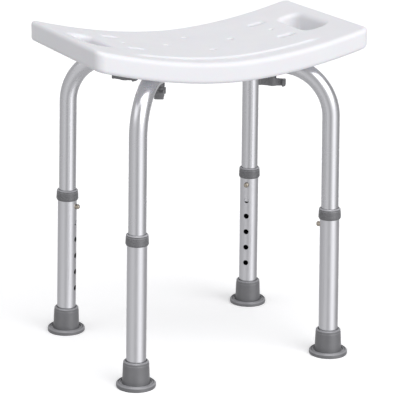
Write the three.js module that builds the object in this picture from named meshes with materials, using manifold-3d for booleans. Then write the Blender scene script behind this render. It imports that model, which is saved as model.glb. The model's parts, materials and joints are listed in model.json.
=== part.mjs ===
// Height-adjustable shower stool: a curved plastic seat on four L-bent aluminium legs.
// Each leg telescopes on a spring-loaded snap button and is held to the seat by a wing knob.
// Millimetres, +Z up. The origin is on the floor, midway between the four feet.
// X runs along the seat's long side and the front is at -Y.
import * as THREE from 'three';
import { mergeVertices } from 'three/addons/utils/BufferGeometryUtils.js';
import Module from 'manifold-3d';

const wasm = await Module();
wasm.setup();

// Gap left between pieces that touch.
const CLEARANCE = 0.3;

// Seat
const SEAT_LENGTH = 421;
const SEAT_WIDTH = 246.5;
const SEAT_THICKNESS = 29.4;
const SEAT_TOP = 480.9;
const SEAT_SAG = 32.65;
const SEAT_SAG_POWER = 1.83;
const SEAT_STATIONS = 16;
const SEAT_CORNER_RADIUS = 14;
const SEAT_TOP_ROUND = 6;
const SEAT_BOTTOM_ROUND = 5;
const SEAT_BEVEL = 4;
const CORNER_STEPS = 2;
const SITTING_PANEL = { rise: 2.5, flatHalf: 126, halfLength: 150, halfWidth: 97 };
const HANDLE_HOLE = { x: 169, length: 34, width: 90, corner: 13 };
const DRAIN_SLOT = { x: 117.5, y: 45, length: 25, width: 9 };
const DRAIN_HOLE = { radius: 4.5, x: 51, y: 45.5 };
const END_HOLE = { radius: 3.5, x: 118 };
const TALL = 600;

// Legs
const LEG_SPACING_X = 310;
const LEG_SPACING_Y = 250.6;
const LEG_HEADING = Math.PI / 4;
const LEG_LEAN = THREE.MathUtils.degToRad(0.97);
const TUBE_SIDES = 16;
const TUBE_WALL = 1.2;
const UPPER_TUBE_RADIUS = 12.5;
const UPPER_TUBE_BOTTOM = 168;
const BEND_START = 355.4;
const BEND_RADIUS = 71;
const BEND_STEPS = 8;
const RUN_END = 140;
const LOWER_TUBE_RADIUS = 14;
const LOWER_TUBE_BOTTOM = 9.5;
const LOWER_TUBE_TOP = 219;
const HOLE_TOP = 195.8;
const HOLE_PITCH = 25.4;
const HOLE_COUNT = 6;
const HOLE_RADIUS = 4.1;

// Rubber foot and the collar on the lower tube
const FOOT = {
  flangeRadius: 28, flangeHeight: 4.6, rimRadius: 26.6, rimHeight: 6.4, grooveRadius: 23.6,
  grooveHeight: 5.4, bottomRadius: 19.4, topRadius: 18, height: 38.3, boreFloor: 7, belowFloor: 2,
};
const COLLAR = { bottom: 205.5, height: 16.6, bottomRadius: 16.3, topRadius: 15.2, chamfer: 2.2, rim: 0.9 };

// Fixing of each leg to the seat
const KNOB_DISTANCE = 88;
const KNOB_REST_ANGLES = { fl: 26, fr: 13, bl: -2, br: -5 };
const STUD = { radius: 3, length: 50.5, inset: 2.5 };
const INSERT = { radius: 5, length: 10 };
const SADDLE = { radius: 6.6, height: 4.9, thinnest: 3.6 };
const KNOB_HUB = { radius: 6, height: 4.6 };
const KNOB_WING = {
  height: 9.7, reach: 20.2, web: 5.5, webReach: 17.2, tipInner: 16, tipSpan: 0.74, skew: -0.2,
};
const SOCKET = { length: 31, width: 34, wall: 4, endWall: 5, corner: 9 };

// Snap button and its V spring
const BUTTON = { radius: 3.7, tip: 19.4, flangeRadius: 4.6, flangeFrom: 8.25, flangeTo: 9.6, dome: 2.2 };
const SPRING = { thickness: 0.7, width: 6, front: 7.6, back: -9.5, apex: 36, apexReach: 1.8, tail: 8 };

const PLASTIC_WHITE = { color: 0xf2f2f4, roughness: 0.42, metalness: 0 };
const ALUMINIUM = { color: 0xc9cacd, roughness: 0.3, metalness: 1 };
const GREY_PLASTIC = { color: 0x6f7174, roughness: 0.55, metalness: 0 };
const DARK_PLASTIC = { color: 0x4b4d50, roughness: 0.6, metalness: 0 };
const RUBBER = { color: 0x77797c, roughness: 0.8, metalness: 0 };
const STEEL = { color: 0xb8b4aa, roughness: 0.28, metalness: 1 };
const BRASS = { color: 0xb5964f, roughness: 0.35, metalness: 1 };

// A turned profile that meets its axis leaves triangles there with no area, which are dropped.
function wholeTriangles(index) {
  const kept = [];
  for (let i = 0; i < index.length; i += 3) {
    const [a, b, c] = index.slice(i, i + 3);
    if (a !== b && b !== c && c !== a) kept.push(a, b, c);
  }
  return new Uint32Array(kept);
}

function toSolid(geometry) {
  const bare = geometry.clone();
  bare.deleteAttribute('normal');
  bare.deleteAttribute('uv');
  const merged = mergeVertices(bare, 1e-4);
  return new wasm.Manifold(new wasm.Mesh({
    numProp: 3,
    vertProperties: new Float32Array(merged.attributes.position.array),
    triVerts: wholeTriangles(merged.index.array),
  }));
}

function toGeometry(solid) {
  const mesh = solid.getMesh();
  const geometry = new THREE.BufferGeometry();
  geometry.setAttribute('position', new THREE.BufferAttribute(mesh.vertProperties, 3));
  geometry.setIndex(new THREE.BufferAttribute(mesh.triVerts, 1));
  geometry.computeVertexNormals();
  return geometry;
}

// A curve that ExtrudeGeometry follows through exactly the given points.
class StationPath extends THREE.Curve {
  constructor(points) {
    super();
    this.points = points;
  }

  station(u) {
    return Math.round(u * (this.points.length - 1));
  }

  getPointAt(u) {
    return this.points[this.station(u)].clone();
  }

  getTangentAt(u) {
    const here = this.station(u);
    const before = this.points[Math.max(here - 1, 0)];
    const after = this.points[Math.min(here + 1, this.points.length - 1)];
    return after.clone().sub(before).normalize();
  }
}

// Each arc of a section is cut into this many sides: curveSegments counts them in pairs.
function sweep(section, points, arcSides) {
  return new THREE.ExtrudeGeometry(section, {
    steps: points.length - 1, curveSegments: arcSides / 2, extrudePath: new StationPath(points),
  });
}

function circleShape(radius, innerRadius = 0) {
  const shape = new THREE.Shape().absarc(0, 0, radius, 0, 2 * Math.PI);
  if (innerRadius > 0) {
    shape.holes.push(new THREE.Path().absarc(0, 0, innerRadius, 0, 2 * Math.PI));
  }
  return shape;
}

function roundedRectangle(length, width, radius) {
  const [x, y] = [length / 2, width / 2];
  return new THREE.Shape()
    .absarc(x - radius, y - radius, radius, 0, Math.PI / 2)
    .absarc(radius - x, y - radius, radius, Math.PI / 2, Math.PI)
    .absarc(radius - x, radius - y, radius, Math.PI, 1.5 * Math.PI)
    .absarc(x - radius, radius - y, radius, 1.5 * Math.PI, 2 * Math.PI);
}

// An upright prism of a plan shape from one height to another.
function prism(shape, bottom, top, arcSides = 4) {
  const options = { depth: top - bottom, bevelEnabled: false, curveSegments: arcSides / 2 };
  return toSolid(new THREE.ExtrudeGeometry(shape, options)).translate([0, 0, bottom]);
}

function cylinder(radius, bottom, top, sides = 16) {
  const geometry = new THREE.CylinderGeometry(radius, radius, top - bottom, sides);
  return toSolid(geometry.rotateX(Math.PI / 2)).translate([0, 0, (top + bottom) / 2]);
}

// The distance from a tube's axis to its facets is a little less than its nominal radius.
function facetedRadius(clearRadius) {
  return clearRadius / Math.cos(Math.PI / TUBE_SIDES);
}

// Seat

function seatTopAt(x) {
  const share = Math.min(Math.abs(x) / (SEAT_LENGTH / 2), 1);
  return SEAT_TOP - SEAT_SAG * (1 - share ** SEAT_SAG_POWER);
}

// Points along the seat at a height above its top surface.
function seatCurve(halfLength, heightAt) {
  const points = [];
  for (let i = 0; i <= SEAT_STATIONS; i += 1) {
    const x = halfLength * (2 * i / SEAT_STATIONS - 1);
    points.push(new THREE.Vector2(x, seatTopAt(x) + heightAt(x)));
  }
  return points;
}

// A quarter-round corner, from one heading to the next.
function roundCorner(x, z, radius, from) {
  const points = [];
  for (let i = 0; i <= CORNER_STEPS; i += 1) {
    const angle = from - Math.PI / 2 * i / CORNER_STEPS;
    points.push(new THREE.Vector2(x + radius * Math.cos(angle), z + radius * Math.sin(angle)));
  }
  return points;
}

// The side outline of the seat, with its ends rounded over.
function seatSideShape() {
  const topEnd = SEAT_LENGTH / 2 - SEAT_TOP_ROUND;
  const bottomEnd = SEAT_LENGTH / 2 - SEAT_BOTTOM_ROUND;
  const topCentre = seatTopAt(topEnd) - SEAT_TOP_ROUND;
  const bottomCentre = seatTopAt(bottomEnd) - SEAT_THICKNESS + SEAT_BOTTOM_ROUND;
  return new THREE.Shape([
    ...seatCurve(topEnd, () => 0).slice(1, -1),
    ...roundCorner(topEnd, topCentre, SEAT_TOP_ROUND, Math.PI / 2),
    ...roundCorner(bottomEnd, bottomCentre, SEAT_BOTTOM_ROUND, 0),
    ...seatCurve(bottomEnd, () => -SEAT_THICKNESS).slice(1, -1).reverse(),
    ...roundCorner(-bottomEnd, bottomCentre, SEAT_BOTTOM_ROUND, -Math.PI / 2),
    ...roundCorner(-topEnd, topCentre, SEAT_TOP_ROUND, Math.PI),
  ]);
}

function acrossSeat(shape, width, bevel) {
  const geometry = new THREE.ExtrudeGeometry(shape, {
    depth: width - 2 * bevel,
    bevelEnabled: bevel > 0,
    bevelThickness: bevel,
    bevelSize: bevel,
    bevelOffset: -bevel,
    bevelSegments: 2,
  });
  return toSolid(geometry.rotateX(Math.PI / 2)).translate([0, width / 2 - bevel, 0]);
}

// The sitting area stands slightly proud of the rim and fades out towards the hand holes.
function sittingPanel() {
  const { rise, flatHalf, halfLength, halfWidth } = SITTING_PANEL;
  const rootHeight = -SEAT_THICKNESS / 2;
  const riseAt = (x) => rise * (1 - THREE.MathUtils.smoothstep(Math.abs(x), flatHalf, halfLength));
  const outline = [
    ...seatCurve(halfLength, riseAt),
    ...seatCurve(halfLength, () => rootHeight).reverse(),
  ];
  return acrossSeat(new THREE.Shape(outline), 2 * halfWidth, 0);
}

function seatOpenings() {
  const cuts = [];
  const { x: alongX, y: alongY } = DRAIN_HOLE;
  for (const [x, y] of [[alongX, 0], [-alongX, 0], [0, alongY], [0, -alongY]]) {
    cuts.push(cylinder(DRAIN_HOLE.radius, 0, TALL, 10).translate([x, y, 0]));
  }
  for (const end of [-1, 1]) {
    const handle = roundedRectangle(HANDLE_HOLE.length, HANDLE_HOLE.width, HANDLE_HOLE.corner);
    cuts.push(prism(handle, 0, TALL).translate([end * HANDLE_HOLE.x, 0, 0]));
    cuts.push(cylinder(END_HOLE.radius, 0, TALL, 8).translate([end * END_HOLE.x, 0, 0]));
    for (const side of [-1, 1]) {
      const slot = roundedRectangle(DRAIN_SLOT.length, DRAIN_SLOT.width, DRAIN_SLOT.width / 2.01);
      cuts.push(prism(slot, 0, TALL).translate([end * DRAIN_SLOT.x, side * DRAIN_SLOT.y, 0]));
    }
  }
  return cuts;
}

// Leg path, in a leg's own upright frame: X points inward under the seat, Z is up.

const bendStart = new THREE.Vector3(BEND_START * Math.tan(LEG_LEAN), 0, BEND_START);
const bendCentre = bendStart.clone().add(
  new THREE.Vector3(Math.cos(LEG_LEAN), 0, -Math.sin(LEG_LEAN)).multiplyScalar(BEND_RADIUS),
);
const runHeight = bendCentre.z + BEND_RADIUS;
const legTop = bendStart.x;

function legPath(bottom, end) {
  const points = [new THREE.Vector3(bottom * Math.tan(LEG_LEAN), 0, bottom)];
  for (let i = 0; i <= BEND_STEPS; i += 1) {
    const angle = Math.PI - LEG_LEAN - (Math.PI / 2 - LEG_LEAN) * i / BEND_STEPS;
    const spoke = new THREE.Vector3(Math.cos(angle), 0, Math.sin(angle));
    points.push(spoke.multiplyScalar(BEND_RADIUS).add(bendCentre));
  }
  points.push(new THREE.Vector3(legTop + end, 0, runHeight));
  return points;
}

const LEGS = [
  { name: 'fl', x: -1, y: -1 },
  { name: 'fr', x: 1, y: -1 },
  { name: 'bl', x: -1, y: 1 },
  { name: 'br', x: 1, y: 1 },
];

// The turn about Z that points a leg's own X axis inward under the seat.
function legTurn(leg) {
  return Math.atan2(-leg.y * Math.sin(LEG_HEADING), -leg.x * Math.cos(LEG_HEADING));
}

function inLegPlace(solid, leg) {
  return solid
    .rotate([0, 0, THREE.MathUtils.radToDeg(legTurn(leg))])
    .translate([leg.x * LEG_SPACING_X / 2, leg.y * LEG_SPACING_Y / 2, 0]);
}

// The round channel that a leg's tube lies in, and the screw insert's pocket above it.
function legChannel() {
  const radius = facetedRadius(UPPER_TUBE_RADIUS + CLEARANCE);
  const path = legPath(UPPER_TUBE_BOTTOM, RUN_END + CLEARANCE);
  const pocketTop = insertBottom() + INSERT.length + CLEARANCE;
  const pocket = cylinder(INSERT.radius + CLEARANCE, runHeight, pocketTop)
    .translate([legTop + KNOB_DISTANCE, 0, 0]);
  return toSolid(sweep(circleShape(radius), path, TUBE_SIDES)).add(pocket);
}

// The closed sleeve under the seat that holds the inner end of a leg's tube.
function legSocket() {
  const low = runHeight - UPPER_TUBE_RADIUS - SOCKET.wall;
  const high = SEAT_TOP - SEAT_SAG - SEAT_BEVEL;
  const outline = roundedRectangle(high - low, SOCKET.width, SOCKET.corner);
  const inner = legTop + RUN_END + SOCKET.endWall;
  return prism(outline, 0, SOCKET.length)
    .rotate([0, -90, 0])
    .translate([inner, 0, (high + low) / 2]);
}

function seatSolid() {
  const outline = roundedRectangle(SEAT_LENGTH, SEAT_WIDTH, SEAT_CORNER_RADIUS);
  let solid = acrossSeat(seatSideShape(), SEAT_WIDTH, SEAT_BEVEL).intersect(prism(outline, 0, TALL));
  solid = solid.add(sittingPanel());
  for (const leg of LEGS) solid = solid.add(inLegPlace(legSocket(), leg));
  for (const leg of LEGS) solid = solid.subtract(inLegPlace(legChannel(), leg));
  for (const cut of seatOpenings()) solid = solid.subtract(cut);
  return solid;
}

// Tubes

// A straight bar along X, at a height, that cuts a round hole.
function crossBar(radius, length, height) {
  const geometry = new THREE.CylinderGeometry(radius, radius, length, 12);
  return toSolid(geometry.rotateZ(Math.PI / 2)).translate([length / 2, 0, height]);
}

function upperTube() {
  const inner = UPPER_TUBE_RADIUS - TUBE_WALL;
  const path = legPath(UPPER_TUBE_BOTTOM, RUN_END);
  const tube = toSolid(sweep(circleShape(UPPER_TUBE_RADIUS, inner), path, TUBE_SIDES));
  const buttonHole = crossBar(HOLE_RADIUS, 2 * LOWER_TUBE_RADIUS, HOLE_TOP)
    .translate([HOLE_TOP * Math.tan(LEG_LEAN), 0, 0]);
  const studHole = cylinder(STUD.radius + CLEARANCE, BEND_START, TALL, 12)
    .translate([legTop + KNOB_DISTANCE, 0, 0]);
  return tube.subtract(buttonHole).subtract(studHole);
}

function lowerTube() {
  const inner = facetedRadius(UPPER_TUBE_RADIUS + CLEARANCE);
  let tube = prism(circleShape(LOWER_TUBE_RADIUS, inner), LOWER_TUBE_BOTTOM, LOWER_TUBE_TOP, TUBE_SIDES);
  for (let i = 0; i < HOLE_COUNT; i += 1) {
    tube = tube.subtract(crossBar(HOLE_RADIUS, 2 * LOWER_TUBE_RADIUS, HOLE_TOP - i * HOLE_PITCH));
  }
  return tube;
}

// Turned pieces: each profile lists radius and height pairs. It starts and ends on the axis, or is a ring.

function turned(profile, segments) {
  const points = profile.map(([radius, height]) => new THREE.Vector2(radius, height));
  if (profile[0][0] > 0) points.push(points[0].clone());
  return toSolid(new THREE.LatheGeometry(points, segments).rotateX(Math.PI / 2));
}

function collar() {
  const bore = facetedRadius(UPPER_TUBE_RADIUS + CLEARANCE);
  const seat = facetedRadius(LOWER_TUBE_RADIUS + CLEARANCE);
  const { bottom, bottomRadius, topRadius, chamfer, rim } = COLLAR;
  const [top, lipFloor] = [bottom + COLLAR.height, LOWER_TUBE_TOP + CLEARANCE];
  return turned([
    [seat, bottom], [bottomRadius - chamfer / 2, bottom], [bottomRadius, bottom + chamfer],
    [topRadius, top - rim], [topRadius - rim, top], [bore + rim, top], [bore, top - rim],
    [bore, lipFloor], [seat, lipFloor],
  ], TUBE_SIDES);
}

// The rubber ferrule. It leans with its leg, and its underside is cut level with the floor.
function foot() {
  const bore = facetedRadius(LOWER_TUBE_RADIUS + CLEARANCE);
  const { flangeRadius, flangeHeight, rimRadius, rimHeight, grooveRadius, grooveHeight } = FOOT;
  const { bottomRadius, topRadius, height, boreFloor, belowFloor } = FOOT;
  const body = turned([
    [0, -belowFloor], [flangeRadius, -belowFloor], [flangeRadius, flangeHeight],
    [rimRadius, rimHeight], [grooveRadius, grooveHeight], [bottomRadius, boreFloor + 0.8],
    [topRadius, height - 0.9], [topRadius - 1, height], [topRadius - 2, height - 0.2],
    [bore, height - 3.4], [bore, boreFloor], [0, boreFloor],
  ], 20);
  const reach = 100;
  const floorBox = new THREE.BoxGeometry(reach, reach, reach)
    .translate(0, 0, -reach / 2)
    .rotateY(-LEG_LEAN);
  return body.subtract(toSolid(floorBox));
}

function footDisc() {
  return cylinder(LOWER_TUBE_RADIUS - 1, FOOT.boreFloor + CLEARANCE, LOWER_TUBE_BOTTOM - CLEARANCE, 20);
}

// The pressed pin that locks a leg, pointing along X.
function snapButton() {
  const { radius, tip, flangeRadius, flangeFrom, flangeTo, dome } = BUTTON;
  return turned([
    [0, flangeFrom], [flangeRadius, flangeFrom], [flangeRadius, flangeTo], [radius, flangeTo],
    [radius, tip - dome], [radius * 0.8, tip - dome * 0.4], [radius * 0.45, tip - dome * 0.1], [0, tip],
  ], 10).rotate([0, 90, 0]).translate([0, 0, HOLE_TOP]);
}

function vSpring() {
  const { thickness, width, front, back, apex, apexReach, tail } = SPRING;
  const high = HOLE_TOP + apex;
  const path = [
    [front, HOLE_TOP - tail], [front, HOLE_TOP + tail], [apexReach, high - apexReach], [0, high],
    [-apexReach, high - apexReach], [back, HOLE_TOP + tail], [back, HOLE_TOP - tail],
  ].map(([x, z]) => new THREE.Vector3(x, 0, z));
  return toSolid(sweep(roundedRectangle(width, thickness, 0.1), path, 2));
}

// Fixings, about a vertical axis at the knob's place along the tube

function insertBottom() {
  return runHeight + UPPER_TUBE_RADIUS + 2 * CLEARANCE;
}

function threadedInsert() {
  const bottom = insertBottom();
  const bore = STUD.radius + CLEARANCE;
  return prism(circleShape(INSERT.radius, bore), bottom, bottom + INSERT.length, 14);
}

const saddleBottom = runHeight - UPPER_TUBE_RADIUS - CLEARANCE - SADDLE.thinnest;
const hubTop = saddleBottom - CLEARANCE;
const wingTop = hubTop - KNOB_HUB.height;
const wingBottom = wingTop - KNOB_WING.height;

// The spacer whose hollow top fits the underside of the tube.
function saddle() {
  const block = cylinder(SADDLE.radius, saddleBottom, saddleBottom + SADDLE.height, 20);
  const tube = crossBar(facetedRadius(UPPER_TUBE_RADIUS + CLEARANCE), 4 * SADDLE.radius, runHeight);
  return block
    .subtract(tube.translate([-2 * SADDLE.radius, 0, 0]))
    .subtract(cylinder(STUD.radius + CLEARANCE, 0, TALL, 12));
}

function studBottom() {
  return wingBottom + STUD.inset;
}

function knobStud() {
  return cylinder(STUD.radius, studBottom(), studBottom() + STUD.length, 12);
}

// One flared wing tip: part of a ring about the knob's axis, skewed so the two tips make an S.
function wingTip(turn) {
  const { reach, tipInner, tipSpan, skew } = KNOB_WING;
  const [from, to] = [skew - tipSpan / 2, skew + tipSpan / 2];
  const shape = new THREE.Shape()
    .absarc(0, 0, reach, from, to)
    .absarc(0, 0, tipInner, to, from, true);
  return prism(shape, wingBottom, wingTop).rotate([0, 0, turn]);
}

function wingKnob() {
  const webShape = roundedRectangle(2 * KNOB_WING.webReach, KNOB_WING.web, 1);
  return cylinder(KNOB_HUB.radius, wingBottom, hubTop)
    .add(prism(webShape, wingBottom, wingTop, 2))
    .add(wingTip(0))
    .add(wingTip(180))
    .subtract(cylinder(STUD.radius + CLEARANCE, studBottom() - CLEARANCE, TALL, 12));
}

// Assembly

function piece(name, geometry, look) {
  const mesh = new THREE.Mesh(geometry, new THREE.MeshStandardMaterial(look));
  mesh.name = name;
  return mesh;
}

const shared = {
  upperTube: toGeometry(upperTube()),
  lowerTube: toGeometry(lowerTube()),
  collar: toGeometry(collar()),
  foot: toGeometry(foot()),
  footDisc: toGeometry(footDisc()),
  button: toGeometry(snapButton()),
  spring: toGeometry(vSpring()),
  insert: toGeometry(threadedInsert()),
  saddle: toGeometry(saddle()),
  stud: toGeometry(knobStud()),
  knob: toGeometry(wingKnob()),
};

function fixing(leg) {
  const place = new THREE.Group();
  place.position.x = legTop + KNOB_DISTANCE;
  const knob = piece(`wing_knob_${leg.name}`, shared.knob, DARK_PLASTIC);
  knob.rotation.z = THREE.MathUtils.degToRad(KNOB_REST_ANGLES[leg.name]);
  place.add(
    piece(`threaded_insert_${leg.name}`, shared.insert, BRASS),
    piece(`saddle_spacer_${leg.name}`, shared.saddle, DARK_PLASTIC),
    piece(`knob_stud_${leg.name}`, shared.stud, STEEL),
    knob,
  );
  return place;
}

function telescopingLeg(leg) {
  const leaning = new THREE.Group();
  leaning.rotation.y = LEG_LEAN;
  leaning.add(
    piece(`lower_tube_${leg.name}`, shared.lowerTube, ALUMINIUM),
    piece(`collar_${leg.name}`, shared.collar, GREY_PLASTIC),
    piece(`foot_${leg.name}`, shared.foot, RUBBER),
    piece(`foot_disc_${leg.name}`, shared.footDisc, STEEL),
    piece(`snap_button_${leg.name}`, shared.button, STEEL),
    piece(`v_spring_${leg.name}`, shared.spring, STEEL),
  );
  return leaning;
}

const group = new THREE.Group();
group.add(piece('seat', toGeometry(seatSolid()), PLASTIC_WHITE));
for (const leg of LEGS) {
  const upright = new THREE.Group();
  upright.position.set(leg.x * LEG_SPACING_X / 2, leg.y * LEG_SPACING_Y / 2, 0);
  upright.rotation.z = legTurn(leg);
  upright.add(
    piece(`upper_tube_${leg.name}`, shared.upperTube, ALUMINIUM),
    telescopingLeg(leg),
    fixing(leg),
  );
  group.add(upright);
}

export default group;
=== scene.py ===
"""A height-adjustable shower stool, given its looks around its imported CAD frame.

Sizes are in millimetres and turned into metres where an object is made. Each leg's place, lean and
heading come from the frame's joints and mounts. X runs along the seat and the front is at -Y.
"""
import json
import math

import bpy
import numpy as np
from mathutils import Matrix, Vector


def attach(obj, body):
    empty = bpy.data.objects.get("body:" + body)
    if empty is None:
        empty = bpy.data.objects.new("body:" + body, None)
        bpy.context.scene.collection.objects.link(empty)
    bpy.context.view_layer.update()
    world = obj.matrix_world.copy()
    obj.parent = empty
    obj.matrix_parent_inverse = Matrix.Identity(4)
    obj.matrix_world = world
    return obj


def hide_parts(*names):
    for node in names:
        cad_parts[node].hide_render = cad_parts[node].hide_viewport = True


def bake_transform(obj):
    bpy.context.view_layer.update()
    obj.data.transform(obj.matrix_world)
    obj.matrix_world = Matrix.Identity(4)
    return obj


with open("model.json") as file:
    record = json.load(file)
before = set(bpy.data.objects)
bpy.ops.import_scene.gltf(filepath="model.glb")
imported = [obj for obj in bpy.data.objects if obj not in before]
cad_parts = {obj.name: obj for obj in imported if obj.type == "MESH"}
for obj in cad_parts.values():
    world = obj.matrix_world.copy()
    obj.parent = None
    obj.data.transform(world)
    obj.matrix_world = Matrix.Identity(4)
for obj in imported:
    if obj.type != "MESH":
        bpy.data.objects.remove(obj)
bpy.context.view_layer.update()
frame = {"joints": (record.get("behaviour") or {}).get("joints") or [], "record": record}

MM = 0.001
RECORD = frame["record"]
JOINTS = {joint["name"]: joint for joint in frame["joints"]}
MOUNTS = {mount["name"]: mount for mount in RECORD["mounts"]}

# Camera
CAMERA_AZIMUTH = -26.735
CAMERA_ELEVATION = 15.821
CAMERA_ROLL = 0.651
CAMERA_DISTANCE = 2799.3
CAMERA_TARGET = (0, 0, 240)
CAMERA_LENS = 173.2
CAMERA_SENSOR = 36
CAMERA_SHIFT = (0.0077, -0.0357)

# Seat
SEAT_LENGTH = 421
SEAT_WIDTH = 246.5
SEAT_THICKNESS = 29.4
SEAT_TOP = 480.9
SEAT_SAG = 32.65
SEAT_SAG_POWER = 1.83
SEAT_CORNER_RADIUS = 14
SEAT_TOP_ROUND = 6.5
SEAT_BOTTOM_ROUND = 4.5
PANEL = {"rise": 2.5, "flat_half": 126, "half_length": 150, "half_width": 97, "step": 4}
HANDLE_HOLE = {"x": 169, "length": 34, "width": 90, "corner": 13, "lip": 6.5}
DRAIN_SLOT = {"x": 117.5, "y": 45, "length": 25, "width": 11, "lip": 3.4}
DRAIN_HOLE = {"radius": 4.2, "x": 51, "y": 45.5, "lip": 2}
END_HOLE = {"radius": 3.3, "x": 118, "lip": 1.6}
UNDER_LIP = 2.5

# Room between pieces that touch, and round a piece that slides or slots in
GAP = 0.3
CLEARANCE = 0.4

# Legs
UPPER_RADIUS = 12.5
UPPER_BOTTOM = 168
LOWER_RADIUS = 14
LOWER_BOTTOM = 9.5
LOWER_TOP = 219
TUBE_WALL = 1.2
TUBE_CHAMFER = 0.35
BEND_START = 355.4
BEND_RADIUS = 71
BEND_STEPS = 40
RUN_END = 140
HOLE_TOP = 195.8
HOLE_PITCH = 25.4
HOLE_COUNT = 6
HOLE_RADIUS = 4.1
BUTTON = {"base": 8.25, "flange": 4.6, "shoulder": 9.6, "radius": 3.7, "tip": 19.4, "dome": 2.6}
SPRING = {"inner": 7.6, "outer": -9.5, "arm": 8, "height": 36, "half_width": 3, "half_thickness": 0.35}
COLLAR = {"bottom": 205.5, "top": 222.1}
FOOT_DISC = {"bottom": 7.3, "top": 9.2, "radius": 13}

# Fixings
KNOB_DISTANCE = 88
KNOB_REST_ANGLES = {"fl": 26, "fr": 13, "bl": -2, "br": -5}
SOCKET = {"length": 31, "width": 34, "wall": 4, "end_wall": 5, "corner": 9, "end_round": 2.5, "blend": 5}
INSERT = {"radius": 5, "length": 10, "above_tube": 0.6, "grooves": 3, "groove_depth": 0.5}
STUD = {"radius": 3, "length": 50.5, "inset": 2.5, "pitch": 1, "depth": 0.6}
SADDLE = {"radius": 6.6, "height": 4.9, "thinnest": 3.6}
HUB = {"radius": 6, "height": 4.6, "round": 0.8, "fillet": 1.5}
WING = {"height": 9.7, "reach": 19.6, "web": 5.5, "web_taper": 0.62, "web_reach": 17, "tip_inner": 16.4,
        "tip_round": 1.2, "span": 0.74, "skew": -0.2, "half_width": 14, "round": 0.9}

# How fine the meshes are: the grid steps of surfaces, the sides of tubes, and the angles in degrees
# above which an edge stays sharp
SEAT_CELL = 1.8
SADDLE_CELL = 0.45
KNOB_CELL = 0.6
TUBE_SIDES = 64
SHARP_ANGLE = 35
TUBE_SHARP_ANGLE = 30

LEG_NAMES = ("fl", "fr", "bl", "br")

# Light at eye level all round the studio: heading in degrees from +X, and brightness
SIDE_LIGHT = [(-180, 0.62), (-160, 0.68), (-146, 0.64), (-131, 0.46), (-122, 0.44), (-113, 0.52),
              (-99, 0.78), (-84, 1.2), (-68, 1.24), (-52, 0.95), (-36, 0.56), (-21, 0.4), (0, 0.32),
              (30, 0.5), (63, 0.7), (95, 0.5), (123, 0.47), (153, 0.5), (180, 0.62)]
SIDE_LIGHT_FULL = 2
# Light from above and below, each with the height of its direction where it starts and where it is full
CEILING_LIGHT = {"brightness": 0.12, "start": 0.5, "full": 0.95}
UNDER_LIGHT = {"brightness": 0.5, "start": 0.4, "full": 0.9}
# Round soft lights: direction, inner and outer half angles in degrees, and brightness
KEY = {"heading": -70, "elevation": 38, "inner": 12, "outer": 34, "brightness": 1.95}
OVERHEAD = {"heading": -110, "elevation": 77, "inner": 6, "outer": 28, "brightness": 2.5}
FILL = {"heading": 178, "elevation": 42, "inner": 10, "outer": 32, "brightness": 0.6}
LIGHT_TINT = (0.985, 0.985, 1, 1)
FLOOR = {"reach": 12000, "grey": 0.86, "glow": 0.32}


# Meshes

def new_object(name, points, faces, sharp_angle=SHARP_ANGLE):
    """An object from points in millimetres, smooth but for edges sharper than an angle in degrees."""
    mesh = bpy.data.meshes.new(name)
    mesh.from_pydata([tuple(point) for point in np.asarray(points, float) * MM], [], faces)
    mesh.validate()
    mesh.shade_smooth()
    if sharp_angle is not None:
        mesh.set_sharp_from_angle(angle=math.radians(sharp_angle))
    obj = bpy.data.objects.new(name, mesh)
    bpy.context.scene.collection.objects.link(obj)
    return obj


def rounded(corners, steps=5):
    """The outline through corners (x, z, radius), each rounded to its radius."""
    outline = []
    for i, (x, z, radius) in enumerate(corners):
        here = np.array((x, z), float)
        if radius == 0:
            outline.append(here)
            continue
        before = np.array(corners[i - 1][:2]) - here
        after = np.array(corners[(i + 1) % len(corners)][:2]) - here
        before, after = before / np.hypot(*before), after / np.hypot(*after)
        half = math.acos(float(np.clip(before @ after, -1, 1))) / 2
        middle = (before + after) / np.hypot(*(before + after))
        centre = here + middle * radius / math.sin(half)
        spoke = here + before * radius / math.tan(half) - centre
        turn = math.copysign(math.pi - 2 * half, before[1] * after[0] - before[0] * after[1])
        for k in range(steps + 1):
            c, s = math.cos(turn * k / steps), math.sin(turn * k / steps)
            outline.append(centre + np.array((c * spoke[0] - s * spoke[1], s * spoke[0] + c * spoke[1])))
    return outline


def lathe(name, outline, sides=72):
    """A turned piece about Z. Its outline starts and ends on the axis, or closes on itself."""
    on_axis = 1e-6
    points, rings = [], []
    for radius, z in outline:
        if radius < on_axis:
            rings.append([len(points)] * sides)
            points.append((0, 0, z))
            continue
        rings.append([len(points) + k for k in range(sides)])
        turns = [2 * math.pi * k / sides for k in range(sides)]
        points += [(radius * math.cos(t), radius * math.sin(t), z) for t in turns]
    pairs = list(zip(rings, rings[1:]))
    if outline[0][0] > on_axis:
        pairs.append((rings[-1], rings[0]))
    faces = []
    for low, high in pairs:
        for k in range(sides):
            n = (k + 1) % sides
            face = dict.fromkeys((low[k], low[n], high[n], high[k]))
            if len(face) > 2:
                faces.append(tuple(face))
    return new_object(name, points, faces)


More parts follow.
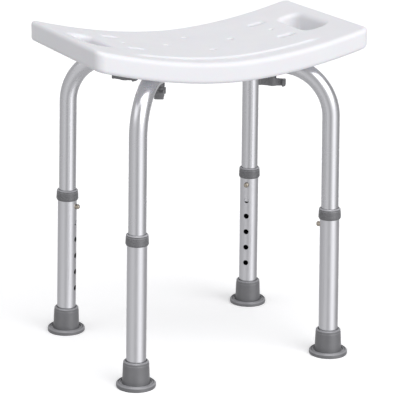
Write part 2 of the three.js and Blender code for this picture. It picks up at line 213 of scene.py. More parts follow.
def sweep(name, place, wall):
    """A hollow tube. wall is a closed list of (distance along, radius), and place gives the centre
    and the two directions across the tube at a distance. Its UVs are metres along and around."""
    sides = TUBE_SIDES
    points, turns = [], [2 * math.pi * k / sides for k in range(sides)]
    for along, radius in wall:
        centre, right, up = place(along)
        points += [centre + radius * (math.cos(t) * right + math.sin(t) * up) for t in turns]
    faces, uvs = [], []
    arc = 2 * math.pi * UPPER_RADIUS / sides
    for row in range(len(wall)):
        after = (row + 1) % len(wall)
        low, high = wall[row][0], wall[after][0]
        for k in range(sides):
            n = (k + 1) % sides
            faces.append((row * sides + k, row * sides + n, after * sides + n, after * sides + k))
            uvs += [(arc * k, low), (arc * (k + 1), low), (arc * (k + 1), high), (arc * k, high)]
    obj = new_object(name, points, faces, TUBE_SHARP_ANGLE)
    radii = [radius for _, radius in wall]
    is_bore = [radii[k] == radii[(k + 1) % len(wall)] == min(radii) for k in range(len(wall))]
    obj.data.polygons.foreach_set("material_index", np.repeat(is_bore, sides).astype(np.int32))
    layer = obj.data.uv_layers.new(name="Along")
    layer.data.foreach_set("uv", (np.array(uvs, np.float32) * MM).ravel())
    return obj


def cut(obj, cutters):
    """Cuts the cutters out of an object, and removes them."""
    for cutter in cutters:
        boolean = obj.modifiers.new("cut", "BOOLEAN")
        boolean.operation = "DIFFERENCE"
        boolean.solver = "EXACT"
        boolean.object = cutter
    bpy.context.view_layer.update()
    cut_mesh = bpy.data.meshes.new_from_object(obj.evaluated_get(bpy.context.evaluated_depsgraph_get()))
    obj.modifiers.clear()
    obj.data = cut_mesh
    obj.data.set_sharp_from_angle(angle=math.radians(TUBE_SHARP_ANGLE))
    for cutter in cutters:
        bpy.data.objects.remove(cutter)
    return obj


# Solids as fields: a field gives about how far a point is outside the solid, and is negative inside.

def overlap(a, b, radius):
    """What two solids share, with the edge where they meet rounded."""
    round_off = np.hypot(np.maximum(a + radius, 0), np.maximum(b + radius, 0))
    return np.minimum(np.maximum(a, b), -radius) + round_off


def union(a, b, radius):
    """Two solids joined, with a fillet where they meet."""
    return -overlap(-a, -b, radius)


def rounded_box(x, y, half_x, half_y, radius):
    """An upright block about the Z axis, endless in Z, with its four edges rounded."""
    dx, dy = np.abs(x) - half_x + radius, np.abs(y) - half_y + radius
    return np.hypot(np.maximum(dx, 0), np.maximum(dy, 0)) + np.minimum(np.maximum(dx, dy), 0) - radius


# How far to each side a slope is measured
PROBE = 0.05


def field_gradient(field, points):
    """How fast a field rises along each axis."""
    gradient = np.empty_like(points)
    for axis in range(3):
        offset = np.zeros(3)
        offset[axis] = PROBE
        ahead, behind = points + offset, points - offset
        gradient[:, axis] = (field(*ahead.T) - field(*behind.T)) / (2 * PROBE)
    return gradient


CUBE = np.array([(i, j, k) for i in (0, 1) for j in (0, 1) for k in (0, 1)])
CUBE_EDGES = [(a, b) for a in range(8) for b in range(a + 1, 8) if abs(CUBE[a] - CUBE[b]).sum() == 1]
# Rounds of moving points onto a surface, and the least slope squared that a move is worked out with
SETTLING_STEPS = 4
FLATTEST = 0.1


def surface(name, field, low, high, cell):
    """A smooth closed mesh on a field's zero level: one point to each grid cell that the surface
    crosses, moved onto the surface, and one quad to each grid edge that it crosses."""
    counts = [int(math.ceil((b - a) / cell)) + 1 for a, b in zip(low, high)]
    axes = [a + (b - a) / 2 + cell * (np.arange(n) - (n - 1) / 2) for a, b, n in zip(low, high, counts)]
    samples = field(*np.meshgrid(*axes, indexing="ij"))
    inside = samples < 0
    corners = [tuple(slice(o, n - 1 + o) for o, n in zip(corner, counts)) for corner in CUBE]
    filled = sum(inside[corner].astype(np.int8) for corner in corners)
    cells = np.argwhere((filled > 0) & (filled < 8))
    number = np.full([n - 1 for n in counts], -1)
    number[tuple(cells.T)] = np.arange(len(cells))
    values = np.stack([samples[tuple((cells + corner).T)] for corner in CUBE], axis=1)
    total, crossings = np.zeros((len(cells), 3)), np.zeros(len(cells))
    for a, b in CUBE_EDGES:
        crosses = (values[:, a] < 0) != (values[:, b] < 0)
        share = values[crosses, a] / (values[crosses, a] - values[crosses, b])
        total[crosses] += CUBE[a] + share[:, None] * (CUBE[b] - CUBE[a])
        crossings[crosses] += 1
    points = np.array([axis[0] for axis in axes]) + cell * (cells + total / crossings[:, None])
    for _ in range(SETTLING_STEPS):
        slope = field_gradient(field, points)
        step = field(*points.T) / np.maximum((slope ** 2).sum(1), FLATTEST)
        points -= np.clip(step, -cell, cell)[:, None] * slope
    faces = []
    for axis in range(3):
        b, c = np.eye(3, dtype=int)[(axis + 1) % 3], np.eye(3, dtype=int)[(axis + 2) % 3]
        here = inside[tuple(slice(0, n - (k == axis)) for k, n in enumerate(counts))]
        beyond = inside[tuple(slice(int(k == axis), n) for k, n in enumerate(counts))]
        edges = np.argwhere(here != beyond)
        around = [number[tuple((edges - shift).T)] for shift in (0 * b, b, b + c, c)]
        leaving = here[tuple(edges.T)]
        quads = np.stack(around, axis=1)
        faces.append(np.where(leaving[:, None], quads, quads[:, ::-1]))
    return new_object(name, points, np.concatenate(faces).tolist(), None)


# Leg shapes, in a leg's own frame: X points inward under the seat and Z is up

LEG_LEAN = Vector(JOINTS["leg_fl_slide"]["axis"]).angle(Vector((0, 0, 1)))
LEG_BASE = Vector(MOUNTS["foot_br_underside"]["pos_m"]) / MM
LEG_TOP = BEND_START * math.tan(LEG_LEAN)
BEND_CENTRE = (LEG_TOP + BEND_RADIUS * math.cos(LEG_LEAN), BEND_START - BEND_RADIUS * math.sin(LEG_LEAN))
RUN_HEIGHT = BEND_CENTRE[1] + BEND_RADIUS
STRAIGHT = (BEND_START - UPPER_BOTTOM) / math.cos(LEG_LEAN)
BEND_LENGTH = BEND_RADIUS * (math.pi / 2 - LEG_LEAN)


def leg_placement(name, leaning):
    """The matrix from a leg's own frame, in metres, to the row frame."""
    inward = -Vector(JOINTS[f"button_{name}_press"]["axis"])
    up = Vector(JOINTS[f"leg_{name}_slide"]["axis"])
    if not leaning:
        inward, up = Vector((inward.x, inward.y, 0)).normalized(), Vector((0, 0, 1))
    turn = Matrix((inward, up.cross(inward), up)).transposed()
    return Matrix.Translation(MOUNTS[f"foot_{name}_underside"]["pos_m"]) @ turn.to_4x4()


def knob_placement(name, turn_degrees):
    """The matrix from a frame on the knob's axis, at floor height, to the row frame."""
    axis = Vector(JOINTS[f"knob_{name}_turn"]["pos_m"])
    leg_turn = leg_placement(name, False).to_3x3().to_4x4()
    knob_turn = Matrix.Rotation(math.radians(turn_degrees), 4, "Z")
    return Matrix.Translation((axis.x, axis.y, 0)) @ leg_turn @ knob_turn


def upper_place(along):
    """The tube's centre and its directions across, at a distance from the tube's lower end."""
    if along <= STRAIGHT:
        angle = math.pi - LEG_LEAN
        low = (STRAIGHT - along) * np.array((math.sin(LEG_LEAN), math.cos(LEG_LEAN)))
        plane = np.array((LEG_TOP, BEND_START)) - low
    elif along <= STRAIGHT + BEND_LENGTH:
        angle = math.pi - LEG_LEAN - (along - STRAIGHT) / BEND_RADIUS
        plane = np.array(BEND_CENTRE) + BEND_RADIUS * np.array((math.cos(angle), math.sin(angle)))
    else:
        angle = math.pi / 2
        plane = np.array((BEND_CENTRE[0] + along - STRAIGHT - BEND_LENGTH, RUN_HEIGHT))
    outward = np.array((math.cos(angle), 0, math.sin(angle)))
    return np.array((plane[0], 0, plane[1])), np.array((0, 1, 0)), outward


def tube_wall(stations, radius):
    """The closed outline of a tube's wall, with small chamfers at both ends."""
    inner, c = radius - TUBE_WALL, TUBE_CHAMFER
    start, end = stations[0], stations[-1]
    along_wall = [start + c, *stations[1:-1], end - c]
    outside = [(along, radius) for along in along_wall]
    inside = [(along, inner) for along in reversed(along_wall)]
    return [*outside, (end, radius - c), (end, inner + c), *inside, (start, inner + c), (start, radius - c)]


def upper_tube_mesh():
    length = STRAIGHT + BEND_LENGTH + LEG_TOP + RUN_END - BEND_CENTRE[0]
    bend = [STRAIGHT + BEND_LENGTH * k / BEND_STEPS for k in range(BEND_STEPS + 1)]
    straights = [0, STRAIGHT / 3, STRAIGHT * 2 / 3]
    return sweep("upper_tube", upper_place, tube_wall([*straights, *bend, length], UPPER_RADIUS))


def cross_cutter(height):
    """A bar along X at a height, which cuts one button hole in the tube's inward side."""
    reach = 20
    bar = lathe("cutter", [(0, 0), (HOLE_RADIUS, 0), (HOLE_RADIUS, reach), (0, reach)], 40)
    bar.matrix_world = Matrix.Translation((0, 0, height * MM)) @ Matrix.Rotation(math.pi / 2, 4, "Y")
    return bar


def lower_tube_mesh():
    def place(along):
        return np.array((0, 0, along)), np.array((0, 1, 0)), np.array((-1, 0, 0))

    in_foot, in_collar = 30, 8
    stations = [LOWER_BOTTOM, LOWER_BOTTOM + in_foot, LOWER_TOP - in_collar, LOWER_TOP]
    tube = sweep("lower_tube", place, tube_wall(stations, LOWER_RADIUS))
    return cut(tube, [cross_cutter(HOLE_TOP - HOLE_PITCH * k) for k in range(HOLE_COUNT)])


def collar_mesh():
    """The sleeve: a band under a shallow groove, and a sloping rim round the upper tube."""
    bore, seat, bottom, top = UPPER_RADIUS + GAP, LOWER_RADIUS + GAP, COLLAR["bottom"], COLLAR["top"]
    stop = LOWER_TOP + CLEARANCE
    return lathe("collar", rounded([
        (seat, bottom, 0.3), (15.2, bottom, 0.5), (16.3, bottom + 2.1, 0.9), (15.9, top - 7, 0.5),
        (15.75, top - 4.4, 0.3), (15.45, top - 4, 0.3), (15.6, top - 2.1, 0.4), (13.3, top, 0.4),
        (13, top - 1.6, 0.3), (bore, top - 1.8, 0.1), (bore, stop, 0), (seat, stop, 0),
    ]))


def foot_mesh():
    """The rubber ferrule: a flange with a ringed tread, a tapered body and a rolled lip round the tube.
    The leg leans, so the tread starts below the floor, and level_foot makes it flat."""
    bore = LOWER_RADIUS + GAP
    outline = rounded([
        (0, 1.2, 0), (9, 1.2, 0.4), (9.6, -2, 0.4), (13.4, -2, 0.4), (14, 1.2, 0.4), (17, 1.2, 0.4),
        (17.6, -2, 0.4), (21.4, -2, 0.4), (22, 1.2, 0.4), (24, 1.2, 0.4), (24.4, -2, 0),
        (27.6, -2, 0), (28, 1.4, 1), (28, 4.8, 0.8), (26.1, 6.6, 0.6), (25.3, 6.4, 0.4), (24.9, 4.9, 0.3),
        (24.5, 4.9, 0.3), (23, 6.7, 0.5), (22.2, 6.7, 0.4), (21.4, 4.6, 0.6), (20, 4.6, 0.6),
        (19.4, 8.4, 3), (18.45, 33, 0.4), (18.1, 33.6, 0.4), (18, 36.5, 0.4), (15.7, 38.4, 0.5),
        (15.1, 38.2, 0.4), (bore + 0.4, 36, 0.6), (bore, 33, 0),
        (bore, 7, 0), (0, 7, 0),
    ])
    return lathe("foot", outline, 80)


def level_foot(obj):
    """Moves a foot's placement into its mesh, and brings every point under the floor up onto it."""
    obj.data.transform(obj.matrix_world)
    obj.matrix_world = Matrix.Identity(4)
    for vertex in obj.data.vertices:
        vertex.co.z = max(vertex.co.z, 0)
    obj.data.update()


def foot_disc_mesh():
    low, high, radius = FOOT_DISC["bottom"], FOOT_DISC["top"], FOOT_DISC["radius"]
    return lathe("foot_disc", rounded([(0, low, 0), (radius, low, 0.4), (radius, high, 0.4), (0, high, 0)]))


def snap_button_mesh():
    """A domed pin on a flange, along Z from the leg's axis."""
    base, flange, shoulder = BUTTON["base"], BUTTON["flange"], BUTTON["shoulder"]
    radius, tip, dome = BUTTON["radius"], BUTTON["tip"], BUTTON["dome"]
    return lathe("snap_button", rounded([
        (0, base, 0), (flange, base, 0.2), (flange, shoulder, 0.2), (radius, shoulder, 0.2),
        (radius, tip, dome), (0, tip, 0),
    ], steps=8), 48)


def v_spring_mesh():
    """A flat strip bent to a V, with a round at its apex and two straight arms, one behind the button."""
    half_thickness, half_width = SPRING["half_thickness"], SPRING["half_width"]
    inner, outer = SPRING["inner"], SPRING["outer"]
    low, bend, apex = HOLE_TOP - SPRING["arm"], HOLE_TOP + SPRING["arm"], HOLE_TOP + SPRING["height"]
    route = rounded([
        (inner, low, 0), (inner, bend, 6), (-0.4, apex, 1.8), (outer, bend, 6), (outer, low, 0),
    ], steps=8)
    points, faces = [], []
    for i, here in enumerate(route):
        along = route[min(i + 1, len(route) - 1)] - route[max(i - 1, 0)]
        across = np.array((along[1], -along[0])) / np.hypot(*along) * half_thickness
        for side, y in ((1, -half_width), (1, half_width), (-1, half_width), (-1, -half_width)):
            x, z = here + side * across
            points.append((x, y, z))
    for i in range(len(route) - 1):
        for k in range(4):
            n = (k + 1) % 4
            faces.append((4 * i + k, 4 * i + n, 4 * i + 4 + n, 4 * i + 4 + k))
    last = 4 * (len(route) - 1)
    faces += [(3, 2, 1, 0), (last, last + 1, last + 2, last + 3)]
    return new_object("v_spring", points, faces)


# Fixing shapes, about the knob's upright axis

INSERT_BOTTOM = RUN_HEIGHT + UPPER_RADIUS + INSERT["above_tube"]
SADDLE_BOTTOM = RUN_HEIGHT - UPPER_RADIUS - GAP - SADDLE["thinnest"]
HUB_TOP = SADDLE_BOTTOM - GAP
WING_TOP = HUB_TOP - HUB["height"]
WING_BOTTOM = WING_TOP - WING["height"]
STUD_BOTTOM = WING_BOTTOM + STUD["inset"]


def threaded_insert_mesh():
    """A brass sleeve with grooves round it that hold it in the seat."""
    bore, radius, top = STUD["radius"] + GAP, INSERT["radius"], INSERT_BOTTOM + INSERT["length"]
    inner, mouth, floor = radius - INSERT["groove_depth"], 0.7, 0.4
    outline = [(bore, INSERT_BOTTOM, 0.2), (radius, INSERT_BOTTOM, 0.3)]
    for k in range(INSERT["grooves"]):
        middle = INSERT_BOTTOM + INSERT["length"] * (k + 1) / (INSERT["grooves"] + 1)
        outline += [(radius, middle - mouth, 0.1), (inner, middle - floor, 0.1),
                    (inner, middle + floor, 0.1), (radius, middle + mouth, 0.1)]
    outline += [(radius, top, 0.3), (bore, top, 0.2)]
    return lathe("threaded_insert", rounded(outline, steps=2), 48)


def knob_stud_mesh():
    """The stud, with its thread's ridges as rings."""
    top, pitch, radius = STUD_BOTTOM + STUD["length"], STUD["pitch"], STUD["radius"]
    root, lead_in = radius - STUD["depth"], pitch / 2
    outline = [(0, STUD_BOTTOM), (root, STUD_BOTTOM)]
    for k in range(int(STUD["length"] / pitch) - 1):
        low = STUD_BOTTOM + lead_in + k * pitch
        outline += [(root, low), (radius, low + 0.4 * pitch), (radius, low + 0.6 * pitch)]
    return lathe("knob_stud", [*outline, (root, top - 0.4), (radius - 0.9, top), (0, top)], 32)


def saddle_field(x, y, z):
    """A short post, hollowed to the tube above it and bored for the stud."""
    radius, half_height = np.hypot(x, y), SADDLE["height"] / 2
    ends = np.abs(z - SADDLE_BOTTOM - half_height) - half_height
    block = overlap(radius - SADDLE["radius"], ends, 0.5)
    tube = np.hypot(y, z - RUN_HEIGHT) - UPPER_RADIUS - GAP
    stud = radius - STUD["radius"] - GAP
    return np.maximum(overlap(block, -tube, 0.3), -stud)


def saddle_spacer_mesh():
    margin = 1
    reach = SADDLE["radius"] + margin
    low = (-reach, -reach, SADDLE_BOTTOM - margin)
    high = (reach, reach, SADDLE_BOTTOM + SADDLE["height"] + margin)
    return surface("saddle_spacer", saddle_field, low, high, SADDLE_CELL)


def knob_field(x, y, z):
    """A hub with two wings that make a flat S: a web that narrows outward, and a curved tip."""
    radius = np.hypot(x, y)
    hub = overlap(radius - HUB["radius"], np.abs(z - (WING_BOTTOM + HUB_TOP) / 2)
                  - (HUB_TOP - WING_BOTTOM) / 2, HUB["round"])
    between = np.abs(z - (WING_BOTTOM + WING_TOP) / 2) - WING["height"] / 2
    outward = np.clip(np.abs(x) / WING["web_reach"], 0, 1)
    half_web = WING["web"] * (1 - WING["web_taper"] * outward)
    web = np.maximum(np.abs(y) - half_web, np.abs(x) - WING["web_reach"])
    angle = np.arctan2(y * np.sign(x), np.abs(x)) - WING["skew"]
    ring_middle = (WING["reach"] + WING["tip_inner"]) / 2
    across = np.abs(radius - ring_middle) - (WING["reach"] - WING["tip_inner"]) / 2
    tip = overlap(across, (np.abs(angle) - WING["span"] / 2) * ring_middle, WING["tip_round"])
    web, tip = (overlap(part, between, WING["round"]) for part in (web, tip))
    knob = union(union(hub, web, HUB["fillet"]), tip, WING["tip_round"])
    bore = np.maximum(radius - STUD["radius"] - GAP, STUD_BOTTOM - GAP - z)
    return np.maximum(knob, -bore)


def wing_knob_mesh():
    margin = 1
    reach, half_width = WING["reach"] + margin, WING["half_width"]
    low, high = (-reach, -half_width, WING_BOTTOM - margin), (reach, half_width, HUB_TOP + margin)
    return surface("wing_knob", knob_field, low, high, KNOB_CELL)


# Seat

def sag_curve(x):
    """The height of the seat's top, without its panel, along its length."""
    share = np.minimum(np.abs(x) / (SEAT_LENGTH / 2), 1)
    return SEAT_TOP - SEAT_SAG * (1 - share ** SEAT_SAG_POWER)


def fade(value, start, end):
    """1 before start, 0 after end, and smooth between."""
    t = np.clip((value - start) / (end - start), 0, 1)
    return 1 - t * t * (3 - 2 * t)


def seat_height(x, y):
    """The height of the seat's top, with its raised panel."""
    raised = fade(np.abs(x), PANEL["flat_half"], PANEL["half_length"])
    inside = fade(np.abs(y), PANEL["half_width"] - PANEL["step"], PANEL["half_width"])
    return sag_curve(x) + PANEL["rise"] * raised * inside


def above_surface(height, x, y, z):
    """How far a point is above a height field, measured square to it."""
    slope_x = (height(x + PROBE, y) - height(x - PROBE, y)) / (2 * PROBE)
    slope_y = (height(x, y + PROBE) - height(x, y - PROBE)) / (2 * PROBE)
    return (z - height(x, y)) / np.sqrt(1 + slope_x ** 2 + slope_y ** 2)


def channel_fields(along, across, z):
    """The open channel that a leg's tube lies in, the closed tunnel at its end, and the tunnel's
    boss, in the leg's own frame."""
    on_run = along >= BEND_CENTRE[0]
    off_bend = np.hypot(along - BEND_CENTRE[0], z - BEND_CENTRE[1]) - BEND_RADIUS
    off_tube = np.where(on_run, z - RUN_HEIGHT, off_bend)
    clear = UPPER_RADIUS + CLEARANCE
    inner = LEG_TOP + RUN_END + SOCKET["end_wall"]
    open_below = np.hypot(across, np.maximum(off_tube, 0)) - clear
    channel = np.maximum(open_below, along - inner + SOCKET["length"])
    tunnel = np.maximum(np.hypot(across, off_tube) - clear, along - LEG_TOP - RUN_END - CLEARANCE)
    low, high = RUN_HEIGHT - UPPER_RADIUS - SOCKET["wall"], RUN_HEIGHT + 2 * UPPER_RADIUS
    half_width, half_height, half_length = SOCKET["width"] / 2, (high - low) / 2, SOCKET["length"] / 2
    section = rounded_box(across, z - (low + high) / 2, half_width, half_height, SOCKET["corner"])
    ends = np.abs(along - inner + half_length) - half_length
    return channel, tunnel, overlap(section, ends, SOCKET["end_round"])


def seat_field(x, y, z):
    """The seat, worked out in one quarter, which the others mirror."""
    x, y = np.abs(x), np.abs(y)
    above = above_surface(seat_height, x, y, z)
    below = -above_surface(lambda u, _: sag_curve(u) - SEAT_THICKNESS, x, y, z)
    plan = rounded_box(x, y, SEAT_LENGTH / 2, SEAT_WIDTH / 2, SEAT_CORNER_RADIUS)
    along = (LEG_BASE.x - x + LEG_BASE.y - y) / math.sqrt(2)
    across = (LEG_BASE.x - x - LEG_BASE.y + y) / math.sqrt(2)
    channel, tunnel, boss = channel_fields(along, across, z)
    under = union(below, np.maximum(boss, above + SEAT_THICKNESS / 2), SOCKET["blend"])
    seat = overlap(overlap(plan, above, SEAT_TOP_ROUND), under, SEAT_BOTTOM_ROUND)
    seat = overlap(seat, -channel, UNDER_LIP)
    seat = np.maximum(seat, -tunnel)
    handle = rounded_box(x - HANDLE_HOLE["x"], y, HANDLE_HOLE["length"] / 2, HANDLE_HOLE["width"] / 2,
                         HANDLE_HOLE["corner"])
    seat = overlap(seat, -handle, HANDLE_HOLE["lip"])
    slot = rounded_box(x - DRAIN_SLOT["x"], y - DRAIN_SLOT["y"], DRAIN_SLOT["length"] / 2,
                       DRAIN_SLOT["width"] / 2, DRAIN_SLOT["width"] / 2)
    seat = overlap(seat, -slot, DRAIN_SLOT["lip"])
    for hole_x, hole_y in ((DRAIN_HOLE["x"], 0), (0, DRAIN_HOLE["y"])):
        drain = np.hypot(x - hole_x, y - hole_y) - DRAIN_HOLE["radius"]
        seat = overlap(seat, -drain, DRAIN_HOLE["lip"])
    end_hole = np.hypot(x - END_HOLE["x"], y) - END_HOLE["radius"]
    seat = overlap(seat, -end_hole, END_HOLE["lip"])
    pocket = np.maximum(np.hypot(along - LEG_TOP - KNOB_DISTANCE, across) - INSERT["radius"] - CLEARANCE,
                        z - INSERT_BOTTOM - INSERT["length"] - CLEARANCE)
    return np.maximum(seat, -np.maximum(pocket, RUN_HEIGHT - z))


def seat_mesh():
    margin = 3
    reach_x, reach_y = SEAT_LENGTH / 2 + margin, SEAT_WIDTH / 2 + margin
    low = (-reach_x, -reach_y, RUN_HEIGHT - UPPER_RADIUS - SOCKET["wall"] - margin)
    high = (reach_x, reach_y, SEAT_TOP + margin)
    return surface("seat_shell", seat_field, low, high, SEAT_CELL)


# Materials

class Look:
    """A material's node tree, with short calls for the nodes that the looks share."""

    def __init__(self, name, **settings):
        self.material = bpy.data.materials.new(name)
        self.material.use_nodes = True
        self.tree = self.material.node_tree
        self.shader = self.tree.nodes["Principled BSDF"]
        for socket, value in settings.items():
            self.shader.inputs[socket.replace("_", " ")].default_value = value
        coordinates = self.add("ShaderNodeTexCoord").outputs
        self.place, self.normal = coordinates["Object"], coordinates["Normal"]

    def add(self, kind, **inputs):
        node = self.tree.nodes.new(kind)
        for socket, value in inputs.items():
            self.feed(node.inputs[socket.replace("_", " ")], value)
        return node

    def feed(self, socket, value):
        if isinstance(value, bpy.types.NodeSocket):
            self.tree.links.new(value, socket)
        else:
            socket.default_value = value

    def noise(self, per_metre, detail, stretch=(1, 1, 1), place=None):
        """Noise with features of about 1 / per_metre, drawn out along an axis where stretch is small."""
        stretched = self.add("ShaderNodeMapping", Vector=place or self.place, Scale=stretch).outputs[0]
        noise = self.add("ShaderNodeTexNoise", Vector=stretched, Scale=per_metre, Detail=detail)
        return noise.outputs["Fac"]

    def ramp(self, value, start, end, low, high):
        """low where the value is start, high where it is end, and held at both beyond."""
        limits = {"From_Min": start, "From_Max": end, "To_Min": low, "To_Max": high}
        return self.add("ShaderNodeMapRange", Value=value, **limits).outputs["Result"]

    def mottle(self, per_metre, detail, low, high):
        """A number that wanders between low and high over the surface."""
        return self.ramp(self.noise(per_metre, detail), 0.3, 0.7, low, high)

    def tint(self, value, dark, light):
        """A colour that runs from dark to light as a noise goes from 0.35 to 0.65."""
        node = self.add("ShaderNodeValToRGB", Fac=value)
        for stop, place, colour in zip(node.color_ramp.elements, (0.35, 0.65), (dark, light)):
            stop.position, stop.color = place, (*colour, 1)
        return node.outputs["Color"]

    def bump(self, height, distance, under=None):
        """A bumped normal, distance metres high, on top of an earlier one if there is one."""
        node = self.add("ShaderNodeBump", Height=height, Distance=distance, Strength=1.0)
        if under is not None:
            self.feed(node.inputs["Normal"], under)
        return node.outputs["Normal"]

    def finish(self, colour, roughness, normal):
        for socket, value in (("Base Color", colour), ("Roughness", roughness), ("Normal", normal)):
            self.feed(self.shader.inputs[socket], value)
        return self.material


def scaled(colour, share):
    """A colour times a number."""
    return tuple(c * share for c in colour)


def seat_plastic():
    """White blow-moulded polyethylene: a fine sand-blasted grain over a faint waviness."""
    depth_glow = {"Subsurface_Weight": 0.08, "Subsurface_Scale": 0.004}
    look = Look("seat_plastic", IOR=1.5, Specular_IOR_Level=0.3, **depth_glow)
    colour = look.tint(look.noise(11, 2), (0.845, 0.845, 0.872), (0.862, 0.862, 0.886))
    roughness = look.mottle(60, 4, 0.38, 0.5)
    waves = look.bump(look.noise(24, 1), 0.00025)
    grain = look.bump(look.noise(1400, 3), 0.00003, waves)
    return look.finish(colour, roughness, grain)


def tube_aluminium(name, rough):
    """Satin anodised drawn tube: faint die lines along it and a slightly cloudy sheen."""
    look, colour = Look(name, Metallic=1.0, IOR=1.5), (0.8, 0.8, 0.825)
    along = look.add("ShaderNodeUVMap")
    along.uv_map = "Along"
    lines = look.noise(900, 3, (1, 0.012, 1), along.outputs["UV"])
    tone = look.tint(lines, scaled(colour, 0.965), colour)
    roughness = look.mottle(45, 3, rough, rough + 0.07)
    return look.finish(tone, roughness, look.bump(lines, 0.000002))


def moulded(name, colour, rough, grain, depth, upward_highlight=1, ior=1.7):
    """A moulded plastic or rubber: fine texture, and slight colour and sheen variation. Where it faces
    up along the piece, mostly at its rims, its colour is painted paler by a given factor: a painted
    highlight."""
    look = Look(name, IOR=ior)
    patches = look.noise(80, 4)
    dark, light = scaled(colour, 0.94), scaled(colour, 1.06)
    # The paler tone is a painted highlight for faces that point up, not a colour of the material.
    plain, pale = (look.tint(patches, scaled(dark, brightening), scaled(light, brightening)) for brightening in (1, upward_highlight))
    # Mask of faces pointing up along the piece, which get the painted highlight.
    upward = look.add("ShaderNodeSeparateXYZ", Vector=look.normal).outputs["Z"]
    rim = look.ramp(upward, 0.35, 0.7, 0, 1)
    tone = look.add("ShaderNodeMixRGB", Fac=rim, Color1=plain, Color2=pale).outputs[0]
    roughness = look.mottle(260, 3, rough - 0.03, rough + 0.05)
    return look.finish(tone, roughness, look.bump(look.noise(grain, 4), depth))


def metal(name, colour, rough):
    """Plated or machined metal, with fine turning marks around the piece's Z."""
    look = Look(name, Metallic=1.0)
    marks = look.noise(700, 2, (0.15, 0.15, 1))
    tone = look.tint(marks, scaled(colour, 0.9), colour)
    return look.finish(tone, look.mottle(300, 3, rough, rough + 0.1), look.bump(marks, 0.00001))


LOOKS = {
    "seat_plastic": seat_plastic(),
    "tube_aluminium": tube_aluminium("tube_aluminium", 0.22),
    "lower_tube": tube_aluminium("lower_tube", 0.32),
    # The collars and feet get a painted highlight: their upward-facing rims are painted paler.
    "collar_plastic": moulded("collar_plastic", (0.155, 0.155, 0.162), 0.26, 1500, 0.000005, upward_highlight=2.5),
    "foot_rubber": moulded("foot_rubber", (0.165, 0.165, 0.173), 0.31, 1100, 0.000003, upward_highlight=1.75),
    "knob_plastic": moulded("knob_plastic", (0.178, 0.178, 0.184), 0.28, 1500, 0.000005),
    "fixing_steel": metal("fixing_steel", (0.52, 0.465, 0.39), 0.1),
    # The bore look is near black: painted shade inside the tubes, where the real metal lies in shadow.
    "tube_bore_painted_shade": moulded("tube_bore_painted_shade", (0.025, 0.025, 0.027), 0.8, 900, 0.00002, ior=1.45),
    "insert_brass": metal("insert_brass", (0.71, 0.55, 0.28), 0.3),
}


# Assembly

def install(obj, name, node, body, slot, placement, look=None):
    """Puts a piece in place, names it, hangs it on its body, hides the imported node it stands for,
    and gives it a look, its slot's unless another is given. A tube has a second look, for its bore."""
    obj.name = name
    obj.matrix_world = placement
    if not obj.data.materials:
        obj.data.materials.append(LOOKS[look or slot])
        if slot == "tube_aluminium":
            # The second look paints the tube's bore near black: painted shade.
            obj.data.materials.append(LOOKS["tube_bore_painted_shade"])
    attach(obj, body)
    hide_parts(node)
    return obj


def copies(make):
    """One object for each leg, sharing one mesh."""
    first = make()
    others = [bpy.data.objects.new(first.name, first.data) for _ in LEG_NAMES[1:]]
    for other in others:
        bpy.context.scene.collection.objects.link(other)
    return dict(zip(LEG_NAMES, [first, *others]))


def build_legs():
    pieces = [
        (upper_tube_mesh, "upper_tube", "seat_frame", "tube_aluminium", False),
        (lower_tube_mesh, "lower_tube", "leg_{}", "tube_aluminium", True),
        (collar_mesh, "collar", "leg_{}", "collar_plastic", True),
        (foot_disc_mesh, "foot_disc", "leg_{}", "fixing_steel", True),
    ]
    for make, kind, body, slot, leaning in pieces:
        for leg, obj in copies(make).items():
            install(obj, f"fine_{kind}_{leg}", f"{kind}_{leg}", body.format(leg), slot,
                    leg_placement(leg, leaning), kind if kind in LOOKS else None)
    for leg in LEG_NAMES:
        foot = install(foot_mesh(), f"fine_foot_{leg}", f"foot_{leg}", f"leg_{leg}", "foot_rubber",
                       leg_placement(leg, True))
        level_foot(foot)
    point_inward = Matrix.Translation((0, 0, HOLE_TOP * MM)) @ Matrix.Rotation(math.pi / 2, 4, "Y")
    for leg, obj in copies(snap_button_mesh).items():
        install(obj, f"fine_snap_button_{leg}", f"snap_button_{leg}", f"button_{leg}", "fixing_steel",
                leg_placement(leg, True) @ point_inward)


def build_springs():
    """A spring for each leg, placed on the leg with its placement baked into its mesh, in place of the
    imported one.
    """
    for leg in LEG_NAMES:
        place = leg_placement(leg, True)
        spring = v_spring_mesh()
        spring.name = f"fine_v_spring_{leg}"
        spring.matrix_world = place
        spring.data.materials.append(LOOKS["fixing_steel"])
        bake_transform(spring)
        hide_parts(f"v_spring_{leg}")


def build_fixings():
    pieces = [
        (threaded_insert_mesh, "threaded_insert", "seat_frame", "insert_brass", False),
        (saddle_spacer_mesh, "saddle_spacer", "seat_frame", "knob_plastic", False),
        (knob_stud_mesh, "knob_stud", "knob_{}", "fixing_steel", True),
        (wing_knob_mesh, "wing_knob", "knob_{}", "knob_plastic", True),
    ]
    for make, kind, body, slot, turned in pieces:
        for leg, obj in copies(make).items():
            turn = KNOB_REST_ANGLES[leg] if turned else 0
            install(obj, f"fine_{kind}_{leg}", f"{kind}_{leg}", body.format(leg), slot,
                    knob_placement(leg, turn))


def build_seat():
    install(seat_mesh(), "fine_seat", "seat", "seat_frame", "seat_plastic", Matrix.Identity(4))


# Stage

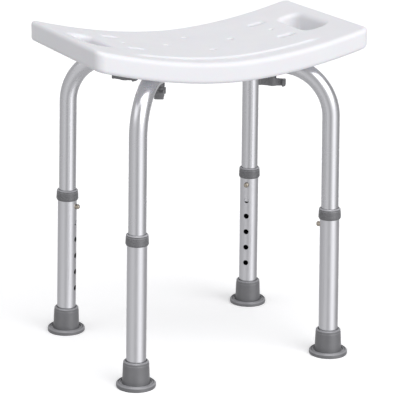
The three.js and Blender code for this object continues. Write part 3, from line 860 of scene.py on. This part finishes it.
def make_camera():
    azimuth, elevation, roll = (math.radians(v) for v in (CAMERA_AZIMUTH, CAMERA_ELEVATION, CAMERA_ROLL))
    forward = Vector((-math.sin(azimuth) * math.cos(elevation), math.cos(azimuth) * math.cos(elevation),
                      -math.sin(elevation)))
    right = Vector((math.cos(azimuth), math.sin(azimuth), 0))
    up = right.cross(forward)
    rolled_right = right * math.cos(roll) + up * math.sin(roll)
    rolled_up = up * math.cos(roll) - right * math.sin(roll)
    camera = bpy.data.objects.new("camera", bpy.data.cameras.new("camera"))
    bpy.context.scene.collection.objects.link(camera)
    camera.data.sensor_width = CAMERA_SENSOR
    camera.data.lens = CAMERA_LENS
    camera.data.shift_x, camera.data.shift_y = CAMERA_SHIFT
    turn = Matrix((rolled_right, rolled_up, -forward)).transposed()
    place = (Vector(CAMERA_TARGET) - forward * CAMERA_DISTANCE) * MM
    camera.matrix_world = Matrix.Translation(place) @ turn.to_4x4()
    bpy.context.scene.camera = camera


def make_floor():
    """A pale floor that takes the stool's shadow, and neither lights the stool nor shows in its metal."""
    reach, grey = FLOOR["reach"], FLOOR["grey"]
    corners = [(-reach, -reach, 0), (reach, -reach, 0), (reach, reach, 0), (-reach, reach, 0)]
    floor = new_object("floor", corners, [(0, 1, 2, 3)])
    look = Look("floor", Roughness=0.9, Base_Color=(grey, grey, grey, 1), Emission_Color=(1, 1, 1, 1),
                Emission_Strength=FLOOR["glow"])
    floor.data.materials.append(look.material)
    floor.visible_glossy = floor.visible_diffuse = floor.visible_shadow = False


def light_direction(light):
    heading, height = math.radians(light["heading"]), math.radians(light["elevation"])
    return math.cos(heading) * math.cos(height), math.sin(heading) * math.cos(height), math.sin(height)


def make_light():
    """A studio of light alone: soft upright panels round the sides, a ceiling, light from under, a
    large soft key light in front and above, a smaller light overhead, and a fill light on the left.
    The camera sees plain white behind the stool."""
    world = bpy.data.worlds.new("studio")
    bpy.context.scene.world = world
    world.use_nodes = True
    tree = world.node_tree
    tree.nodes.clear()

    def add(kind, operation=None, inputs=()):
        node = tree.nodes.new(kind)
        if operation:
            node.operation = operation
        for socket, value in zip(node.inputs, inputs):
            if isinstance(value, bpy.types.NodeSocket):
                tree.links.new(value, socket)
            else:
                socket.default_value = value
        return node.outputs

    def smooth(value, start, end, full):
        """0 at start, and full at end."""
        result = add("ShaderNodeMapRange", None, (value, start, end, 0, full))[0]
        result.node.interpolation_type = "SMOOTHSTEP"
        return result

    direction = add("ShaderNodeTexCoord")["Generated"]
    x, y, z = add("ShaderNodeSeparateXYZ", None, (direction,))
    heading = add("ShaderNodeMath", "ARCTAN2", (y, x))[0]
    turn = add("ShaderNodeMath", "MULTIPLY_ADD", (heading, 1 / (2 * math.pi), 0.5))[0]
    panels = add("ShaderNodeValToRGB", None, (turn,))[0]
    stops = panels.node.color_ramp.elements
    for degrees, brightness in SIDE_LIGHT:
        place, level = degrees / 360 + 0.5, brightness / SIDE_LIGHT_FULL
        stop = stops[0] if place == 0 else stops[-1] if place == 1 else stops.new(place)
        stop.color = (level, level, level, 1)
    total = add("ShaderNodeMath", "MULTIPLY", (panels, SIDE_LIGHT_FULL))[0]
    below = add("ShaderNodeMath", "MULTIPLY", (z, -1))[0]
    for height, light in ((z, CEILING_LIGHT), (below, UNDER_LIGHT)):
        share = smooth(height, light["start"], light["full"], 1)
        change = add("ShaderNodeMath", "SUBTRACT", (light["brightness"], total))[0]
        total = add("ShaderNodeMath", "MULTIPLY_ADD", (share, change, total))[0]
    for light in (KEY, OVERHEAD, FILL):
        facing = add("ShaderNodeVectorMath", "DOT_PRODUCT", (direction, light_direction(light)))["Value"]
        outer, inner = (math.cos(math.radians(light[edge])) for edge in ("outer", "inner"))
        disc = smooth(facing, outer, inner, light["brightness"])
        total = add("ShaderNodeMath", "ADD", (total, disc))[0]
    seen = add("ShaderNodeBackground", None, ((1, 1, 1, 1), 1.0))[0]
    lit = add("ShaderNodeBackground", None, (LIGHT_TINT, total))[0]
    to_camera = add("ShaderNodeLightPath")["Is Camera Ray"]
    mixed = add("ShaderNodeMixShader", None, (to_camera, lit, seen))[0]
    add("ShaderNodeOutputWorld", None, (mixed,))
    bpy.context.scene.view_settings.view_transform = "Standard"


make_camera()
make_light()
make_floor()
build_seat()
build_legs()
build_springs()
build_fixings()
